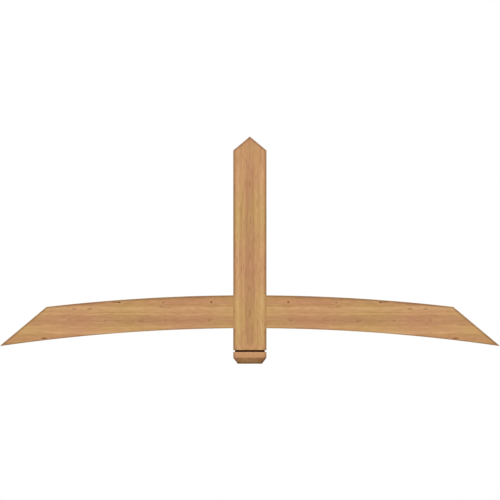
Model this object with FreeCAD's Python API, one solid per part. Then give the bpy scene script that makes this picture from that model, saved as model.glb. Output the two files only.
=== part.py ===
# Decorative gable truss: a king post with an arched half tie dowelled to each of its sides.
# X runs along the gable from left to right, Y goes back towards the wall, and Z is up.
# The origin is on the back face of the post, on its centreline, level with the tips of the ties.
# Lengths are in millimetres, angles in degrees.

import FreeCAD, Part
import math
import os
from FreeCAD import Vector

# Gable that the truss fills
SPAN = 1524.0  # between the tips of the two ties
ROOF_RISE = 10.05  # the roof climbs this much
ROOF_RUN = 12.0  # over this much

# King post
POST_WIDTH = 101.6
POST_DROP = 108.7  # from the crown of the arch's underside down to the foot of the post

# Tail of the post, from its foot upwards
TAIL_CHAMFER_RUN = 13.4
TAIL_CHAMFER_RISE = 18.4
TAIL_BAND = 17.7  # plain band between the chamfer and the groove
GROOVE_HEIGHT = 5.3
GROOVE_DEPTH = 5.2

# Arched half ties
TIE_HEIGHT = 100.6  # across the arc
ARCH_RISE = 54.6  # crown of the arch's underside above the tips
TIP_FLAT = 1.6  # height of the narrow flat that keeps the tip from splitting

# Stock of post and ties, which are flush at the front and at the back
TIMBER_DEPTH = 101.6  # front to back
ARRIS_CUT = 1.0  # taken off both sides of each planed long edge

# Glued dowels, hidden in the butt joints between post and ties
DOWEL_DIAMETER = 19.0
DOWEL_LENGTH = 76.2  # half in the post and half in the tie
DOWEL_COVER = 14.0  # wood between a bore and the edge of the tie
DOWEL_CHAMFER = 2.0
FLUTE_COUNT = 8
FLUTE_RADIUS = 1.2
GLUE_GAP = 0.15  # round a dowel in its bore
BORE_RELIEF = 3.0  # bore beyond the end of a dowel

# Sizes that follow from the ones above
PITCH = ROOF_RISE / ROOF_RUN
PEAK = TIP_FLAT + PITCH * SPAN / 2
FOOT = ARCH_RISE - POST_DROP
POST_SIDE = POST_WIDTH / 2
UNDERSIDE_RADIUS = ((SPAN / 2) ** 2 + ARCH_RISE**2) / (2 * ARCH_RISE)
TOP_RADIUS = UNDERSIDE_RADIUS + TIE_HEIGHT
ARCH_CENTRE = ARCH_RISE - UNDERSIDE_RADIUS
BORE_RADIUS = DOWEL_DIAMETER / 2 + GLUE_GAP

ALONG = Vector(1, 0, 0)
BACK = Vector(0, 1, 0)
UP = Vector(0, 0, 1)
ORIGIN = Vector(0, 0, 0)


def mirrored(shape):
    """The same piece for the other side of the truss."""
    return shape.mirror(ORIGIN, ALONG)


def prism(outline, sweep):
    """Solid swept from a closed outline of points along a vector."""
    return Part.Face(Part.makePolygon(outline + outline[:1])).extrude(sweep)


def edges_along(box, direction):
    """The edges of a box that run along a direction."""
    return [edge for edge in box.Edges if edge.tangentAt(edge.FirstParameter).cross(direction).Length < 0.5]


def arc_point(x, radius):
    """Point above X = x on a circle about the centre of the arch, in the plane of the wall."""
    return Vector(x, 0, ARCH_CENTRE + math.sqrt(radius**2 - x**2))


def eased_section():
    """Cross-section of the tie at the crown of the arch, with its four corners eased."""
    corner = Vector(0, -TIMBER_DEPTH, ARCH_RISE)
    stock = Part.makeBox(TIE_HEIGHT, TIMBER_DEPTH, TIE_HEIGHT, corner)
    eased = stock.makeChamfer(ARRIS_CUT, edges_along(stock, ALONG))
    return min(eased.Faces, key=lambda face: face.CenterOfMass.x)


def right_tie_blank():
    """Tie before boring: a bar of eased section on an arc, squared at the post and cut to the roof."""
    arch_angle = 2 * math.degrees(math.asin(SPAN / 2 / UNDERSIDE_RADIUS))
    bar = eased_section().revolve(Vector(0, 0, ARCH_CENTRE), BACK, arch_angle)
    trimmed = [
        Vector(POST_SIDE, 0, PEAK - PITCH * POST_SIDE),
        Vector(POST_SIDE, 0, -TIE_HEIGHT),
        Vector(SPAN / 2, 0, -TIE_HEIGHT),
        Vector(SPAN / 2, 0, TIP_FLAT),
    ]
    return bar.common(prism(trimmed, Vector(0, -TIMBER_DEPTH, 0)))


def post_blank():
    """Planed square stock with its four long edges eased, from foot to peak."""
    corner = Vector(-POST_SIDE, -TIMBER_DEPTH, FOOT)
    stock = Part.makeBox(POST_WIDTH, TIMBER_DEPTH, PEAK - FOOT, corner)
    return stock.makeChamfer(ARRIS_CUT, edges_along(stock, UP))


def peak_offcuts():
    """The two wedges that are sawn off the head of the post along the roof slopes."""
    shoulder = PEAK - PITCH * POST_SIDE
    outline = [Vector(0, 0, PEAK), Vector(POST_SIDE, 0, PEAK), Vector(POST_SIDE, 0, shoulder)]
    right = prism(outline, Vector(0, -TIMBER_DEPTH, 0))
    return [right, mirrored(right)]


def pass_round_post(section):
    """Cutter that takes a section out of all four sides of the post.

    The section is a list of (depth into the side, height) points.
    """
    reach = POST_WIDTH + TIMBER_DEPTH
    middle = Vector(0, -TIMBER_DEPTH / 2, 0)
    cutters = []
    for side, turn in enumerate((0, 90, 180, 270)):
        face = POST_WIDTH / 2 if side % 2 == 0 else TIMBER_DEPTH / 2
        outline = [Vector(face - depth, -reach / 2, height) for depth, height in section]
        cutter = prism(outline, Vector(0, reach, 0))
        cutter.rotate(ORIGIN, UP, turn)
        cutters.append(cutter.translated(middle))
    return cutters


def tail_cutters():
    """Chamfer round the foot of the post and the groove above it."""
    chamfer = [(0, FOOT), (TAIL_CHAMFER_RUN, FOOT), (0, FOOT + TAIL_CHAMFER_RISE)]
    groove_low = FOOT + TAIL_CHAMFER_RISE + TAIL_BAND
    groove_high = groove_low + GROOVE_HEIGHT
    groove = [(0, groove_low), (GROOVE_DEPTH, groove_low), (GROOVE_DEPTH, groove_high), (0, groove_high)]
    return pass_round_post(chamfer) + pass_round_post(groove)


def dowel_heights():
    """Heights of the lower and the upper dowel, each one cover away from an edge of the tie."""
    inset = DOWEL_COVER + BORE_RADIUS
    lower = arc_point(POST_SIDE, UNDERSIDE_RADIUS).z + inset
    upper = arc_point(POST_SIDE, TOP_RADIUS).z - inset
    return {"lower": lower, "upper": upper}


def rod(radius, length, height):
    """Round bar across the right-hand joint, half in the post and half in the tie, at mid depth."""
    start = Vector(POST_SIDE - length / 2, -TIMBER_DEPTH / 2, height)
    return Part.makeCylinder(radius, length, start, ALONG)


def bore(height):
    """Cutter for the bore that a dowel fills in post and tie."""
    return rod(BORE_RADIUS, DOWEL_LENGTH + 2 * BORE_RELIEF, height)


def dowel(height):
    """Fluted hardwood dowel with chamfered ends, in the right-hand joint."""
    pin = rod(DOWEL_DIAMETER / 2, DOWEL_LENGTH, height)
    rims = [edge for edge in pin.Edges if isinstance(edge.Curve, Part.Circle)]
    pin = pin.makeChamfer(DOWEL_CHAMFER, rims)
    flutes = []
    for index in range(FLUTE_COUNT):
        flute = rod(FLUTE_RADIUS, DOWEL_LENGTH, height + DOWEL_DIAMETER / 2)
        flute.rotate(Vector(0, -TIMBER_DEPTH / 2, height), ALONG, 360 * index / FLUTE_COUNT)
        flutes.append(flute)
    return pin.cut(flutes)


def king_post(bores):
    """Post with its peak, its tail and the bores for the dowels of both ties."""
    both_sides = bores + [mirrored(cutter) for cutter in bores]
    return post_blank().cut(peak_offcuts() + tail_cutters() + both_sides)


def make_pieces():
    """Every piece of the truss by its name."""
    heights = dowel_heights()
    bores = [bore(height) for height in heights.values()]
    right_tie = right_tie_blank().cut(bores)
    pieces = {
        "king_post": king_post(bores),
        "right_arched_tie": right_tie,
        "left_arched_tie": mirrored(right_tie),
    }
    for level, height in heights.items():
        right_dowel = dowel(height)
        pieces[f"right_{level}_dowel"] = right_dowel
        pieces[f"left_{level}_dowel"] = mirrored(right_dowel)
    return pieces


os.makedirs("parts", exist_ok=True)
for name, piece in make_pieces().items():
    piece.exportStep(os.path.join("parts", f"{name}.step"))
    print(name, "solids", len(piece.Solids), "volume", round(piece.Volume), "valid", piece.isValid())
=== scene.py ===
import bmesh
import bpy
import math
from collections import namedtuple
from mathutils import Matrix, Vector


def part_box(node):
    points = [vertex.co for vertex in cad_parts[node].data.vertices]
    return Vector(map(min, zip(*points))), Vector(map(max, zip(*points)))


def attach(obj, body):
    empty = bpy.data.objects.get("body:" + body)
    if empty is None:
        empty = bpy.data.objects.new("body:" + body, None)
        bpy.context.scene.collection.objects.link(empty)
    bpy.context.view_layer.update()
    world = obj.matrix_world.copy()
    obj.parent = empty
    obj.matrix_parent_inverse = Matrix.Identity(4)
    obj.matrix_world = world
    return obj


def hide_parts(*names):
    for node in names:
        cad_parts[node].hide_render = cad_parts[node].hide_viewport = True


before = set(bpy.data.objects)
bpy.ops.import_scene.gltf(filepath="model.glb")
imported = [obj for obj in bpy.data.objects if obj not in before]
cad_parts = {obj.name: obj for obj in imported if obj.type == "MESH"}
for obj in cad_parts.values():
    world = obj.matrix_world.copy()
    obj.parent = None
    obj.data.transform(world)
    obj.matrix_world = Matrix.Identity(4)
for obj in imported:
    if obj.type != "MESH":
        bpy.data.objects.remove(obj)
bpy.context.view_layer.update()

# King post
# One square cedar timber, planed on four sides, with its long edges eased. Its head is sawn to a point at
# the roof pitch, its tail has a saw groove and a chamfered foot, and its sides are bored for the dowels.

MM = 0.001
post_low, post_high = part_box("king_post")
tie_low, tie_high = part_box("right_arched_tie")
POST_SIDE = post_high.x
DEPTH = post_high.y - post_low.y
FRONT = post_low.y
MIDDLE = (post_low.y + post_high.y) / 2
PEAK = post_high.z
FOOT = post_low.z
TIP = tie_high.x
TIP_FLAT = 1.6 * MM
ROOF_PITCH = (PEAK - TIP_FLAT) / TIP
CHAMFER_RUN = 13.4 * MM
CHAMFER_RISE = 18.4 * MM
CHAMFER_TOP = FOOT + CHAMFER_RISE
TAIL_BAND = 17.7 * MM
GROOVE_HEIGHT = 5.3 * MM
GROOVE_DEPTH = 5.2 * MM
GROOVE_LOW = CHAMFER_TOP + TAIL_BAND
GROOVE_HIGH = GROOVE_LOW + GROOVE_HEIGHT
ARRIS_RADIUS = 0.8 * MM  # of the planed long edges
SAW_BREAK = 0.4 * MM  # taken off the sawn edges
BORE_RADIUS = 9.65 * MM
BORE_RELIEF = 3.0 * MM  # bore beyond the end of a dowel
BORE_STEPS = 32
SHARP_ANGLE = math.radians(40)
FLAT_ANGLE = math.radians(0.02)
WELD = 0.005 * MM


def parts_of(timber):
    """All the geometry of a timber."""
    return timber.verts[:] + timber.edges[:] + timber.faces[:]


def only(kind, geometry):
    """The vertices, edges or faces among some geometry."""
    return [part for part in geometry if isinstance(part, kind)]


def ease(timber, corners, affect):
    """Rounds a timber's long edges, or the corners of the section that they are swept from."""
    bmesh.ops.bevel(
        timber, geom=corners, offset=ARRIS_RADIUS, offset_type="OFFSET", segments=3, profile=0.5,
        affect=affect, material=-1,
    )


def saw(timber, point, waste):
    """Saws a timber along a plane, drops the side that waste points to, and closes the cut."""
    cut = bmesh.ops.bisect_plane(
        timber, geom=parts_of(timber), plane_co=point, plane_no=waste, clear_outer=True
    )
    bmesh.ops.contextual_create(timber, geom=only(bmesh.types.BMEdge, cut["geom_cut"]))


def break_edges(timber, crisp_at):
    """Takes the sharpness off a timber's edges, except at one place along X, a joint or the ridge."""
    bmesh.ops.recalc_face_normals(timber, faces=timber.faces)
    bmesh.ops.dissolve_limit(timber, angle_limit=FLAT_ANGLE, verts=timber.verts, edges=timber.edges)
    sharp = [edge for edge in timber.edges if edge.calc_face_angle(0) > SHARP_ANGLE]
    sharp = [e for e in sharp if any(abs(vert.co.x - crisp_at) > SAW_BREAK / 2 for vert in e.verts)]
    bmesh.ops.bevel(
        timber, geom=sharp, offset=SAW_BREAK, offset_type="OFFSET", segments=2, profile=0.5,
        affect="EDGES", material=-1, clamp_overlap=False,
    )


def bore(timber, place, inward):
    """Sinks a round hole with a flat bottom, and returns the edges of its mouth."""
    ring = bmesh.ops.create_circle(timber, segments=BORE_STEPS, radius=BORE_RADIUS, matrix=place)
    mouth = list(dict.fromkeys(edge for vert in ring["verts"] for edge in vert.link_edges))
    wall = bmesh.ops.extrude_edge_only(timber, edges=mouth)["geom"]
    bottom = only(bmesh.types.BMVert, wall)
    bmesh.ops.translate(timber, verts=bottom, vec=inward)
    rim = [e for e in only(bmesh.types.BMEdge, wall) if all(vert in bottom for vert in e.verts)]
    bmesh.ops.contextual_create(timber, geom=rim)
    return mouth


def drill(timber, hand, outward):
    """Bores the two dowel holes of the left or right joint into the face that lies on its plane."""
    side = POST_SIDE if hand == "right" else -POST_SIDE
    on_plane = [f for f in timber.faces if all(abs(v.co.x - side) < SAW_BREAK / 4 for v in f.verts)]
    flat = max(on_plane, key=lambda face: face.calc_area())
    rims = list(flat.edges)
    bmesh.ops.delete(timber, geom=[flat], context="FACES_ONLY")
    for level in ("upper", "lower"):
        low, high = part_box(f"{hand}_{level}_dowel")
        centre = (low + high) / 2
        place = Matrix.Translation((side, centre.y, centre.z)) @ Matrix.Rotation(math.pi / 2, 4, "Y")
        reach = (high.x - low.x) / 2 + BORE_RELIEF
        rims += bore(timber, place, (-outward * reach, 0, 0))
    bmesh.ops.triangle_fill(
        timber, use_beauty=True, use_dissolve=False, edges=rims, normal=(outward, 0, 0)
    )


post = bmesh.new()
stock_size = (2 * POST_SIDE, DEPTH, PEAK - FOOT, 1)
stock = Matrix.Translation((0, MIDDLE, (FOOT + PEAK) / 2)) @ Matrix.Diagonal(stock_size)
bmesh.ops.create_cube(post, size=1, matrix=stock)
upright = [edge for edge in post.edges if abs(edge.verts[0].co.z - edge.verts[1].co.z) > POST_SIDE]
ease(post, upright, "EDGES")
for way in (-1, 1):
    saw(post, (0, 0, PEAK), Vector((way * ROOF_PITCH, 0, 1)))
    saw(post, (way * POST_SIDE, 0, CHAMFER_TOP), Vector((way * CHAMFER_RISE, 0, -CHAMFER_RUN)))
    saw(post, (0, MIDDLE + way * DEPTH / 2, CHAMFER_TOP), Vector((0, way * CHAMFER_RISE, -CHAMFER_RUN)))
for level in (GROOVE_LOW, GROOVE_HIGH):
    bmesh.ops.bisect_plane(post, geom=parts_of(post), plane_co=(0, 0, level), plane_no=(0, 0, 1))
strip = [face for face in post.faces if GROOVE_LOW < face.calc_center_median().z < GROOVE_HIGH]
neck = bmesh.ops.extrude_face_region(post, geom=strip)["geom"]
shrink = (1 - GROOVE_DEPTH / POST_SIDE, 1 - 2 * GROOVE_DEPTH / DEPTH, 1)
about_middle = Matrix.Translation((0, -MIDDLE, 0))
bmesh.ops.scale(post, verts=only(bmesh.types.BMVert, neck), vec=shrink, space=about_middle)
bmesh.ops.delete(post, geom=[face for face in strip if face.is_valid], context="FACES_ONLY")
break_edges(post, crisp_at=0)
drill(post, "left", -1)
drill(post, "right", 1)


class Tone:
    """A socket in a node tree. Arithmetic on it adds Math nodes to that tree."""

    def __init__(self, tree, socket=None):
        self.tree = tree
        self.socket = socket

    def node(self, kind, settings=None, sockets=None, output=0):
        """Output of a new node, whose settings are set before the values or links of its sockets."""
        node = self.tree.nodes.new(kind)
        for name, value in (settings or {}).items():
            if name == "stops":
                while len(node.color_ramp.elements) < len(value):
                    node.color_ramp.elements.new(1)
                for element, (position, colour) in zip(node.color_ramp.elements, value):
                    element.position = position
                    element.color = (*colour, 1)
            else:
                setattr(node, name, value)
        for name, value in (sockets or {}).items():
            if isinstance(value, Tone):
                self.tree.links.new(value.socket, node.inputs[name])
            elif isinstance(value, tuple) and len(node.inputs[name].default_value) == 4:
                node.inputs[name].default_value = (*value, 1)
            else:
                node.inputs[name].default_value = value
        return Tone(self.tree, node.outputs[output])

    def maths(self, operation, *others):
        """Result of a Math node on this value and others."""
        return self.node("ShaderNodeMath", {"operation": operation}, dict(enumerate((self, *others))))

    def __add__(self, other):
        return self.maths("ADD", other)

    __radd__ = __add__

    def __mul__(self, other):
        return self.maths("MULTIPLY", other)

    __rmul__ = __mul__

    def __sub__(self, other):
        return self.maths("SUBTRACT", other)

    def __rsub__(self, other):
        return self.maths("MULTIPLY_ADD", -1, other)

    def __truediv__(self, other):
        return self.maths("DIVIDE", other)

    def __abs__(self):
        return self.maths("ABSOLUTE")

    def rise(self, low, high):
        """Mask that climbs smoothly from 0 at low to 1 at high."""
        sockets = {"Value": self, "From Min": low, "From Max": high}
        return self.node("ShaderNodeMapRange", {"interpolation_type": "SMOOTHSTEP"}, sockets)

    def blend(self, below, above, mode="MIX"):
        """Colour that goes from one colour to another, or is tinted by it, as this mask climbs to 1."""
        settings = {"data_type": "RGBA", "blend_type": mode}
        return self.node("ShaderNodeMix", settings, {0: self, 6: below, 7: above}, 2)

    def two_tone(self, colour, above, below, start=0.0, full=1.0):
        """Colour tinted one way as this value climbs from start to full, another as its negative does."""
        colour = self.rise(start, full).blend(colour, above, "MULTIPLY")
        return (0 - self).rise(start, full).blend(colour, below, "MULTIPLY")


def axes_in_mm(tree):
    """The place on a piece along X, Y and Z, in millimetres."""
    place = Tone(tree).node("ShaderNodeTexCoord", output="Object")
    return [place.node("ShaderNodeSeparateXYZ", {}, {0: place}, axis) / MM for axis in "XYZ"]


def paint(red, green, blue):
    """Colour given on a screen's scale of 0 to 255, as the shader takes it."""
    levels = (channel / 255 for channel in (red, green, blue))
    return tuple(v / 12.92 if v < 0.04045 else ((v + 0.055) / 1.055) ** 2.4 for v in levels)


def new_finish(name):
    """A new material, and the shader in it."""
    finish = bpy.data.materials.new(name)
    finish.use_nodes = True
    return finish, finish.node_tree.nodes["Principled BSDF"]


def feed(shader, tones):
    """Links tones to a shader's sockets by name."""
    for name, tone in tones.items():
        tone.tree.links.new(tone.socket, shader.inputs[name])


# Place in a timber in millimetres: along its fibres, and across and deep from its pith
Grain = namedtuple("Grain", "along across deep")

# A cast from -1, yellow, to 1, pink, and masks of even wood, fresh wood, painted shade and wear along the
# edges, and painted shade in the groove
Tint = namedtuple("Tint", "pink even fresh edge scorch")

# Place of a knot, its length along the fibres, its height across them, and its shade from 0 to 1
Knot = namedtuple("Knot", "along across deep length height shade")
KnotMarks = namedtuple("KnotMarks", "core collar flame push_across push_deep")


def noise_at(spot, detail=2.0):
    """Noise from about -1 to 1."""
    noise = {"Vector": spot, "Scale": 1.0, "Detail": detail, "Roughness": 0.55}
    return spot.node("ShaderNodeTexNoise", {}, noise) * 4 - 2


def streaks(grain, seed, length, width, detail=2.0):
    """Noise in streaks of a length along the grain and a width across it."""
    stretched = {0: grain.along / length + seed, 1: grain.across / width, 2: grain.deep / width}
    return noise_at(grain.along.node("ShaderNodeCombineXYZ", {}, stretched), detail)


def waver(distance, seed, length):
    """Noise that changes with one distance only, in waves of about a length."""
    return noise_at(distance.node("ShaderNodeCombineXYZ", {}, {0: distance / length + seed}))


# Colours of cedar from the pith outwards, at a distance from the pith in millimetres
PITH = paint(150, 100, 62)
HEART = paint(187, 141, 99)
STRAW = paint(202, 157, 107)
HONEY = paint(195, 150, 102)
PALE = paint(210, 167, 117)
RUSSET = paint(189, 144, 95)
BLUSH = paint(192, 143, 102)
GROWTH = (
    (0, PITH), (6, HONEY), (13, STRAW), (20, HEART), (22, HEART), (26.5, STRAW), (33, HONEY), (42.5, PALE),
    (50, RUSSET), (58, BLUSH), (70, RUSSET), (82, HEART), (90, PALE), (98, HONEY), (112, RUSSET),
)
GROWTH_REACH = 120  # end of the scale of colours
RING_PITCH = 5.4  # a year's growth

# Colours of what lies in and on the wood, and tints that multiply the colour below them
LATE_WOOD = paint(160, 108, 68)
KNOT = paint(108, 56, 27)
FLECK = paint(136, 92, 58)
# painted shade: the dark of the groove's depths, painted into its walls
PAINTED_GROOVE_SHADE = paint(66, 24, 3)
PINK_CAST = (1.0, 0.94, 1.03)
YELLOW_CAST = (0.98, 1.05, 0.92)
DARK_FIBRE = (0.80, 0.77, 0.75)
PALE_FIBRE = (1.12, 1.12, 1.12)
DARK_HAIR = (0.70, 0.66, 0.62)
DARK_SPECK = (0.93, 0.91, 0.88)
PALE_SPECK = (1.06, 1.08, 1.12)
FRESH = (1.10, 1.07, 1.21)
END_GRAIN = (0.75, 0.73, 0.70)
# painted shade and wear along the edges
EDGE_SHADE_AND_WEAR = (0.58, 0.59, 0.60)

# Marks of the tools, in millimetres from one to the next, and the faces that count as sawn ends
PLANER_PITCH = 4.2
SAW_PITCH = 1.7
END_SLANT = (0.28, 0.56)  # cosines between the fibres and the direction that a face looks in


def cut_across(tree, fibre_axis):
    """Mask of the faces that are sawn across the fibres."""
    facing = Tone(tree).node("ShaderNodeNewGeometry", output="True Normal")
    settings = {"operation": "DOT_PRODUCT"}
    lengthwise = facing.node("ShaderNodeVectorMath", settings, {0: facing, 1: fibre_axis}, "Value")
    return abs(lengthwise).rise(*END_SLANT)


def late_wood(years):
    """Mask of the dark wood at the end of each year, which begins softly and stops short."""
    year = years.maths("FRACT")
    return year.rise(0.4, 0.9) * (1 - year.rise(0.92, 1.0))


def knot_marks(grain, knots, fray):
    """Masks of the knots' ragged cores, collars and flames, and how far the knots push the rings aside."""
    core = collar = flame = push_across = push_deep = grain.along * 0
    for knot in knots:
        run = (grain.along - knot.along) / knot.length
        lift = (grain.across - knot.across) / knot.height
        sink = (grain.deep - knot.deep) / knot.height
        square = run * run + lift * lift + sink * sink
        push = (square * -0.06).maths("EXPONENT") * (0.6 * knot.height)
        push_across = push_across + lift * push
        push_deep = push_deep + sink * push
        inside = 1 - (square * fray).rise(0.2, 1.1)
        core = core.maths("MAXIMUM", inside * knot.shade)
        around = square.rise(0.8, 1.6) * (1 - square.rise(1.8, 6.0))
        collar = collar.maths("MAXIMUM", around * knot.shade)
        far = run * run * 0.12 + (lift * lift + sink * sink) * 0.02
        flame = flame.maths("MAXIMUM", (far * -1).maths("EXPONENT") * knot.shade)
    return KnotMarks(core, collar, flame, push_across, push_deep)


class Cedar:
    """The wood of one timber, which shows the same in every face that cuts it.

    lay turns the place on the timber, in millimetres, into its Grain and its Tint.
    """

    def __init__(self, tree, fibre_axis, lay, knots, seed):
        self.seed = seed
        self.grain, self.tint = lay(*axes_in_mm(tree))
        self.end = cut_across(tree, fibre_axis)
        self.broad = self.streaks(draw=23, length=120, width=6)
        self.fine = self.streaks(draw=29, length=30, width=0.8)
        self.hair = self.streaks(draw=47, length=16, width=0.3, detail=3.0)
        self.fibre = self.broad * 0.55 + self.fine * 0.45
        self.fleck = self.streaks(draw=31, length=26, width=2.4, detail=0.0).rise(0.55, 1.1)
        self.pores = self.streaks(draw=37, length=0.9, width=0.9).rise(0.2, 1.2)
        self.knots = knot_marks(self.grain, knots, fray=1 + self.fine * 0.25 + self.hair * 0.15)
        self.radius = self.from_pith()
        self.years = self.radius / RING_PITCH + waver(self.radius, seed + 11, length=17) * 0.8
        self.late = late_wood(self.years)

    def streaks(self, *, draw, **size):
        """Streaks in this timber's grain, different for each draw."""
        return streaks(self.grain, self.seed + draw, **size)

    def from_pith(self):
        """Distance from the pith of a trunk that wanders a little, and whose rings part round knots."""
        ripple = self.streaks(draw=7, length=40, width=14)
        wander_across = waver(self.grain.along, self.seed, length=190) * 1.2
        wander_deep = waver(self.grain.along, self.seed + 3, length=230) * 0.5
        across = self.grain.across + wander_across + ripple * 1.4 - self.knots.push_across
        deep = self.grain.deep + wander_deep + ripple * 0.25 - self.knots.push_deep
        return (across * across + deep * deep).maths("SQRT")

    def ring_colour(self):
        """Colour that changes slowly from pith to bark, with thin lines of dark wood and plain patches."""
        stops = [(distance / GROWTH_REACH, colour) for distance, colour in GROWTH]
        colour = self.radius.node("ShaderNodeValToRGB", {"stops": stops}, {0: self.radius / GROWTH_REACH})
        patchy = self.streaks(draw=13, length=120, width=30).rise(-0.3, 0.5)
        strength = 0.10 + patchy * 0.1 + self.end * 0.25 + self.knots.flame * 0.3
        spells = late_wood(self.years * 3) * (0.06 + self.end * 0.12)
        colour = (self.late * strength + spells).blend(colour, LATE_WOOD)
        mottle = self.streaks(draw=17, length=42, width=13, detail=1.0).rise(0.0, 1.2)
        plain = (mottle * 0.5).maths("MAXIMUM", self.tint.even * 0.6) * (1 - self.end)
        return plain.blend(colour, HONEY)

    def colour(self):
        """Colour of the wood with its cast, fibres and knots, what sawing did to it, painted shade and
        wear along its edges, and painted shade in its groove.
        """
        cast = self.tint.pink * 0.7 + self.streaks(draw=19, length=60, width=20, detail=1.0) * 0.5
        colour = cast.two_tone(self.ring_colour(), PINK_CAST, YELLOW_CAST)
        colour = self.fibre.two_tone(colour, DARK_FIBRE, PALE_FIBRE, start=-0.1, full=1.1)
        colour = self.hair.rise(0.0, 1.4).blend(colour, DARK_HAIR, "MULTIPLY")
        colour = (self.fleck * 0.25).blend(colour, FLECK)
        speck = self.streaks(draw=43, length=24, width=6, detail=1.0)
        colour = speck.two_tone(colour, DARK_SPECK, PALE_SPECK, full=1.2)
        colour = self.tint.fresh.blend(colour, FRESH, "MULTIPLY")
        colour = (self.knots.collar * 0.4).blend(colour, PALE)
        colour = self.knots.core.blend(colour, KNOT)
        colour = self.end.blend(colour, END_GRAIN, "MULTIPLY")
        colour = (self.end * self.pores * 0.4).blend(colour, FLECK)
        # painted shade and wear along the edges
        edge_shade_and_wear = self.tint.edge * (0.8 + self.broad * 0.2)
        colour = edge_shade_and_wear.blend(colour, EDGE_SHADE_AND_WEAR, "MULTIPLY")
        # painted shade in the groove
        return self.tint.scorch.blend(colour, PAINTED_GROOVE_SHADE)

    def roughness(self):
        """Roughness, least on dark rings and on the edges with painted shade and wear, most on sawn ends
        and in the groove.
        """
        wood = 0.58 + self.fibre * 0.05 - self.late * 0.05
        return wood + self.end * 0.2 - self.tint.edge * 0.08 + self.tint.scorch * 0.3

    def relief(self):
        """Height of the surface in millimetres: the figure of the wood, planer ripples and saw marks."""
        figure = self.late * 0.03 + self.fine * 0.025 - self.fleck * 0.04 - self.knots.core * 0.05
        planer = (self.grain.along * (2 * math.pi / PLANER_PITCH)).maths("SINE")
        teeth = ((self.grain.deep + self.fine * 0.2) * (2 * math.pi / SAW_PITCH)).maths("SINE")
        sawn = teeth * 0.03 - self.pores * 0.06
        return figure + planer * 0.003 * (1 - self.end) + self.end * sawn


def cedar_finish(name, fibre_axis, lay, knots, seed):
    """Finish of a planed cedar timber."""
    finish, shader = new_finish(name)
    wood = Cedar(finish.node_tree, fibre_axis, lay, knots, seed)
    relief = wood.relief()
    bump = relief.node("ShaderNodeBump", {}, {"Strength": 1.0, "Distance": MM, "Height": relief})
    feed(shader, {"Base Color": wood.colour(), "Roughness": wood.roughness(), "Normal": bump})
    shader.inputs["Specular IOR Level"].default_value = 0.12
    return finish


UNDERSIDE_RISE = 54.6 * MM  # crown of the arch's underside above the tips
TIE_HEIGHT = 100.6 * MM  # across the arc
UNDERSIDE_RADIUS = (TIP**2 + UNDERSIDE_RISE**2) / (2 * UNDERSIDE_RISE)
ARCH_CENTRE = UNDERSIDE_RISE - UNDERSIDE_RADIUS


def above_underside(x, z):
    """Height above the underside of the arch, square to it."""
    rise = z - ARCH_CENTRE / MM
    return (x * x + rise * rise).maths("SQRT") - UNDERSIDE_RADIUS / MM


def below_roof(x, z):
    """Depth below the roof slope that head and end cuts follow, square to it."""
    return (PEAK / MM - abs(x) * ROOF_PITCH - z) / math.hypot(1, ROOF_PITCH)


def behind_face(y):
    """Distance from the nearer of the front and the back."""
    return DEPTH / 2 / MM - abs(y - MIDDLE / MM)


def edge_mask(first, second, third):
    """Mask of the wood beside the edges, from the distances to three pairs of faces.

    An edge is where two of the distances are nothing, so the middle one of the three tells how near it is.
    Right on the arris the painted shade and wear are weaker, so the arris is paler.
    """
    larger = first.maths("MAXIMUM", second)
    smaller = first.maths("MINIMUM", second)
    middle = smaller.maths("MAXIMUM", larger.maths("MINIMUM", third))
    return middle.rise(-1.0, 2.0) * (1 - middle.rise(2.4, 8.5))


def swing(along, pink_at, pink_every):
    """Cast that swings between pink and yellow along a timber."""
    return ((along - pink_at) * (2 * math.pi / pink_every)).maths("COSINE")


# Wood of the post in millimetres, with heights above the tips of the ties
PITH_BEHIND_FRONT = 20
PITH_LEAN = 29  # how much deeper the pith lies at the foot
LEAN_HEIGHTS = (-50, 12)
POST_PINK_AT = 543
POST_PINK_EVERY = 293
LAST_SWING = 70  # the cast swings no further below this
CAST_HEIGHTS = (-5, 30)  # and fades out between these
HEAD_PINK = (2, 18)  # depths below the roof slope between which the pink of the head fades
EVEN_HEIGHTS = (525, 585)  # the head turns to one even tone
BAND_EVENNESS = 1.5  # of the fresh band below the groove, against 1 for the head
COVERED = 10  # added to the distance from a side where a tie covers it, so that no painted edge shade goes there


def inside_tail(depth, z):
    """Distance into the post from the nearer of one side, at this depth behind it, and its chamfer."""
    chamfer = depth * CHAMFER_RISE + (z - CHAMFER_TOP / MM) * CHAMFER_RUN
    return depth.maths("MINIMUM", chamfer / math.hypot(CHAMFER_RUN, CHAMFER_RISE))


def under_ties(x, z):
    """Mask of the stretch of the post whose sides the ties cover."""
    height = above_underside(x, z)
    return height.rise(-2, 1) * (1 - height.rise(TIE_HEIGHT / MM - 1, TIE_HEIGHT / MM + 2))


def in_groove(z):
    """Mask of the groove with a hair's breadth of its lips, where shade is painted."""
    below = 1 - z.rise(GROOVE_LOW / MM - 0.4, GROOVE_LOW / MM)
    above = z.rise(GROOVE_HIGH / MM + 0.3, GROOVE_HIGH / MM + 0.9)
    return 1 - below.maths("MAXIMUM", above)


def in_band(z):
    """Mask of the plain band of the tail, between its chamfer and its groove."""
    above_chamfer = z.rise(CHAMFER_TOP / MM - 1, CHAMFER_TOP / MM + 1)
    return above_chamfer * (1 - z.rise(GROOVE_LOW / MM, GROOVE_HIGH / MM))


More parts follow.
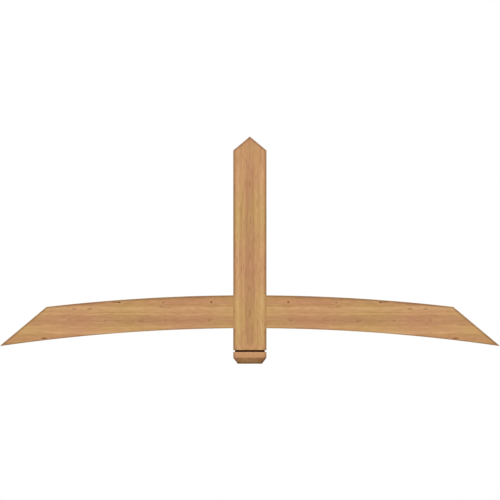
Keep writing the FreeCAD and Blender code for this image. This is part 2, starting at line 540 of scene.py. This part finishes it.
def lay_post(x, y, z):
    """Grain and tint of the post: fibres upright, the pith behind the front and deeper at the foot."""
    lean = (1 - z.rise(*LEAN_HEIGHTS)) * PITH_LEAN
    grain = Grain(along=z, across=x, deep=y - (FRONT / MM + PITH_BEHIND_FRONT) - lean)
    from_side = inside_tail(POST_SIDE / MM - abs(x), z) + under_ties(x, z) * COVERED
    from_face = inside_tail(behind_face(y), z)
    roof = below_roof(x, z)
    # mask of the painted shade and wear along the edges
    edge = edge_mask(from_side, from_face, roof.maths("MINIMUM", z - FOOT / MM))
    cast = swing(z.maths("MAXIMUM", LAST_SWING), POST_PINK_AT, POST_PINK_EVERY)
    pink = cast * z.rise(*CAST_HEIGHTS) + (1 - roof.rise(*HEAD_PINK)) * 1.2
    band = in_band(z)
    even = z.rise(*EVEN_HEIGHTS) + band * BAND_EVENNESS
    # the groove's mask carries its painted shade
    return grain, Tint(pink, even, fresh=band, edge=edge, scorch=in_groove(z))


BACK_FROM_PITH = DEPTH / MM - PITH_BEHIND_FRONT
FACE_FROM_PITH = -PITH_BEHIND_FRONT
SIDE_FROM_PITH = POST_SIDE / MM
POST_KNOTS = (
    Knot(along=494, across=0, deep=FACE_FROM_PITH, length=14, height=3.0, shade=0.2),
    Knot(along=384, across=1, deep=FACE_FROM_PITH, length=15, height=2.6, shade=0.24),
    Knot(along=277, across=0, deep=FACE_FROM_PITH, length=18, height=3.0, shade=0.2),
    Knot(along=177, across=-1, deep=FACE_FROM_PITH, length=10, height=3.6, shade=0.22),
    Knot(along=100, across=1, deep=FACE_FROM_PITH, length=16, height=2.4, shade=0.22),
    Knot(along=250, across=-SIDE_FROM_PITH, deep=22, length=9, height=7, shade=0.9),
    Knot(along=455, across=SIDE_FROM_PITH, deep=35, length=7, height=5, shade=0.8),
    Knot(along=330, across=18, deep=BACK_FROM_PITH, length=9, height=7, shade=0.9),
    Knot(along=505, across=-24, deep=BACK_FROM_PITH, length=5, height=4, shade=0.7),
)
post_finish = cedar_finish("cedar_post", (0, 0, 1), lay_post, POST_KNOTS, seed=3)


def add_object(name, data):
    """A new object in the scene."""
    item = bpy.data.objects.new(name, data)
    bpy.context.scene.collection.objects.link(item)
    return item


def mesh_of(shape, name, finish):
    """Mesh of a finished shape."""
    mesh = bpy.data.meshes.new(name)
    shape.to_mesh(mesh)
    shape.free()
    mesh.materials.append(finish)
    return mesh


def place_timber(timber, name, node, finish):
    """Puts a finished timber in the place of its CAD node."""
    bmesh.ops.remove_doubles(timber, verts=timber.verts, dist=WELD)
    bmesh.ops.recalc_face_normals(timber, faces=timber.faces)
    mesh = mesh_of(timber, name, finish)
    mesh.shade_smooth()
    mesh.set_sharp_from_angle(angle=SHARP_ANGLE)
    piece = add_object(name, mesh)
    flat = piece.modifiers.new("flat faces stay flat", "WEIGHTED_NORMAL")
    flat.keep_sharp = True
    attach(piece, "root")
    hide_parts(node)


place_timber(post, "post_timber", "king_post", post_finish)

# Arched ties
# Two cedar timbers, book-matched halves of one plank with level grain. Each is sawn to two arcs about one
# centre, squared at the post, cut to the roof slope at its tip, and butted to the post on two dowels.

ARCH_STEPS = 72
SWEEP = 1.5 * math.asin(TIP / UNDERSIDE_RADIUS)  # half as far again as the tip, which is sawn to length
PLANK_PITH = 78  # above the tips, in millimetres
TIE_PINK_AT = 194
TIE_PINK_EVERY = 342
PINK_TIP = (690, 750)
UNDERSIDE_CLEAN = 3  # the edges below get less painted edge shade, as if this much further away


def lay_tie(x, y, z):
    """Grain and tint of the ties: fibres level, and the same on both sides of the post."""
    along = abs(x)
    grain = Grain(along, across=z - PLANK_PITH, deep=y - (FRONT / MM + PITH_BEHIND_FRONT))
    height = above_underside(x, z)
    from_arc = (height + UNDERSIDE_CLEAN).maths("MINIMUM", TIE_HEIGHT / MM - height)
    # mask of the painted shade and wear along the edges
    edge = edge_mask(from_arc, behind_face(y), below_roof(x, z))
    pink = swing(along, TIE_PINK_AT, TIE_PINK_EVERY) + along.rise(*PINK_TIP)
    nowhere = x * 0
    return grain, Tint(pink, even=nowhere, fresh=nowhere, edge=edge, scorch=nowhere)


TIE_KNOTS = (
    Knot(along=118, across=56, deep=FACE_FROM_PITH, length=5, height=4.2, shade=0.62),
    Knot(along=264, across=55, deep=FACE_FROM_PITH, length=5, height=4.2, shade=0.3),
    Knot(along=408, across=56, deep=FACE_FROM_PITH, length=17, height=2.2, shade=0.6),
    Knot(along=399, across=55.6, deep=FACE_FROM_PITH, length=6, height=2.6, shade=0.95),
    Knot(along=551, across=1, deep=FACE_FROM_PITH, length=8, height=3.4, shade=0.2),
    Knot(along=441, across=-1, deep=FACE_FROM_PITH, length=6, height=4.0, shade=0.2),
    Knot(along=332, across=-2, deep=FACE_FROM_PITH, length=10, height=3.0, shade=0.22),
    Knot(along=258, across=1, deep=FACE_FROM_PITH, length=7, height=3.4, shade=0.2),
    Knot(along=124, across=0, deep=FACE_FROM_PITH, length=8, height=3.0, shade=0.2),
    Knot(along=489, across=35.5, deep=FACE_FROM_PITH, length=9, height=2.6, shade=0.4),
    Knot(along=537, across=35.5, deep=FACE_FROM_PITH, length=9, height=2.6, shade=0.4),
    Knot(along=628, across=-54.5, deep=FACE_FROM_PITH, length=11, height=3.2, shade=0.6),
    Knot(along=205, across=77, deep=30, length=9, height=6, shade=0.9),
    Knot(along=350, across=-30, deep=BACK_FROM_PITH, length=9, height=7, shade=0.9),
    Knot(along=560, across=20, deep=BACK_FROM_PITH, length=6, height=5, shade=0.8),
)
tie_finish = cedar_finish("cedar_ties", (1, 0, 0), lay_tie, TIE_KNOTS, seed=41)

for hand, way in (("right", 1), ("left", -1)):
    tie = bmesh.new()
    low = UNDERSIDE_RISE
    high = UNDERSIDE_RISE + TIE_HEIGHT
    corners = ((tie_low.y, low), (tie_high.y, low), (tie_high.y, high), (tie_low.y, high))
    section = [tie.verts.new((0, y, z)) for y, z in corners]
    tie.faces.new(section)
    ease(tie, section, "VERTICES")
    bmesh.ops.spin(
        tie, geom=parts_of(tie), cent=(0, 0, ARCH_CENTRE), axis=(0, 1, 0), angle=SWEEP, steps=ARCH_STEPS
    )
    saw(tie, (POST_SIDE, 0, 0), Vector((-1, 0, 0)))
    saw(tie, (0, 0, PEAK), Vector((ROOF_PITCH, 0, 1)))
    saw(tie, (TIP, 0, 0), Vector((1, 0, 0)))
    bmesh.ops.scale(tie, verts=tie.verts, vec=(way, 1, 1))
    break_edges(tie, crisp_at=way * POST_SIDE)
    drill(tie, hand, -way)
    place_timber(tie, f"{hand}_tie_timber", f"{hand}_arched_tie", tie_finish)

# Dowels
# Four fluted beech pegs, turned, with chamfered ends. Two are glued across each butt joint, half in
# the post and half in the tie, and none of them shows.

BEECH = paint(205, 168, 124)
BEECH_RAY = paint(168, 122, 80)
beech, peg = new_finish("beech_dowel")
rays = streaks(Grain(*axes_in_mm(beech.node_tree)), seed=5, length=2.4, width=0.5).rise(0.4, 1.2)
feed(peg, {"Base Color": (rays * 0.6).blend(BEECH, BEECH_RAY), "Roughness": 0.5 + rays * 0.12})
for name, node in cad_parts.items():
    if name.endswith("dowel"):
        node.data.materials.clear()
        node.data.materials.append(beech)

# Floor, light and camera
# A pale studio floor under the tail that fades into the white surround, a broad lamp in front and above, a
# weaker one behind, and a camera square to the front face.

FLOOR_LEVEL = FOOT - 0.2 * MM
FLOOR_RADIUS = 4.0
FLOOR_STEPS = 96
FLOOR_FADE = (1100, 3200)  # between these distances from the post, in millimetres
FLOOR_GREY = (0.86, 0.86, 0.86)
BLACK = (0, 0, 0)
WHITE = (1, 1, 1)


def seen_directly(tree):
    """Mask of what is seen, also in a mirror or through glass, as against what lights the object."""
    kinds = ("Camera", "Glossy", "Transmission")
    straight, mirrored, through = [
        Tone(tree).node("ShaderNodeLightPath", output=f"Is {kind} Ray") for kind in kinds
    ]
    return straight.maths("MAXIMUM", mirrored).maths("MAXIMUM", through)


floor_paint, floor_shader = new_finish("floor_paint")
floor_x, floor_y = axes_in_mm(floor_paint.node_tree)[:2]
fade = (floor_x * floor_x + floor_y * floor_y).maths("SQRT").rise(*FLOOR_FADE)
white_out = fade * seen_directly(floor_paint.node_tree)
feed(floor_shader, {
    "Base Color": white_out.blend(FLOOR_GREY, BLACK),
    "Emission Color": white_out.blend(BLACK, WHITE),
})
floor_shader.inputs["Emission Strength"].default_value = 1
floor_shader.inputs["Specular IOR Level"].default_value = 0
floor_shader.inputs["Roughness"].default_value = 0.8
ground = bmesh.new()
bmesh.ops.create_circle(
    ground, cap_ends=True, segments=FLOOR_STEPS, radius=FLOOR_RADIUS,
    matrix=Matrix.Translation((0, 0, FLOOR_LEVEL)),
)
studio_floor = add_object("studio_floor", mesh_of(ground, "studio_floor", floor_paint))

AMBIENT = 0.38
scene = bpy.context.scene
scene.view_settings.view_transform = "Standard"
scene.world = bpy.data.worlds.new("studio")
scene.world.use_nodes = True
surround = scene.world.node_tree.nodes["Background"]
surround.inputs["Color"].default_value = (*WHITE, 1)
feed(surround, {"Strength": AMBIENT + seen_directly(scene.world.node_tree) * (1 - AMBIENT)})

LAMP_SIZE = 10
LAMP_AIM = Vector((0, MIDDLE, 0.25))
LAMPS = {
    "key_lamp": ((1.0, -16.0, 12.0), 2560),
    "back_lamp": ((-6.0, 14.0, 10.0), 1040),
}
for name, (place, power) in LAMPS.items():
    light = bpy.data.lights.new(name, "AREA")
    light.shape = "SQUARE"
    light.size = LAMP_SIZE
    light.energy = power
    lamp = add_object(name, light)
    lamp.location = place
    lamp.rotation_euler = (LAMP_AIM - lamp.location).to_track_quat("-Z", "Y").to_euler()

VIEW_MARGIN = 1.2 * MM
VIEW_CENTRE = Vector((0.4 * MM, 0, 293.2 * MM))
CAMERA_BACK = 6.0
lens = bpy.data.cameras.new("camera")
lens.type = "ORTHO"
lens.ortho_scale = 2 * (TIP + VIEW_MARGIN)
lens.clip_end = 100
camera = add_object("camera", lens)
camera.location = VIEW_CENTRE + Vector((0, FRONT - CAMERA_BACK, 0))
camera.rotation_euler = (math.radians(90), 0, 0)
scene.camera = camera
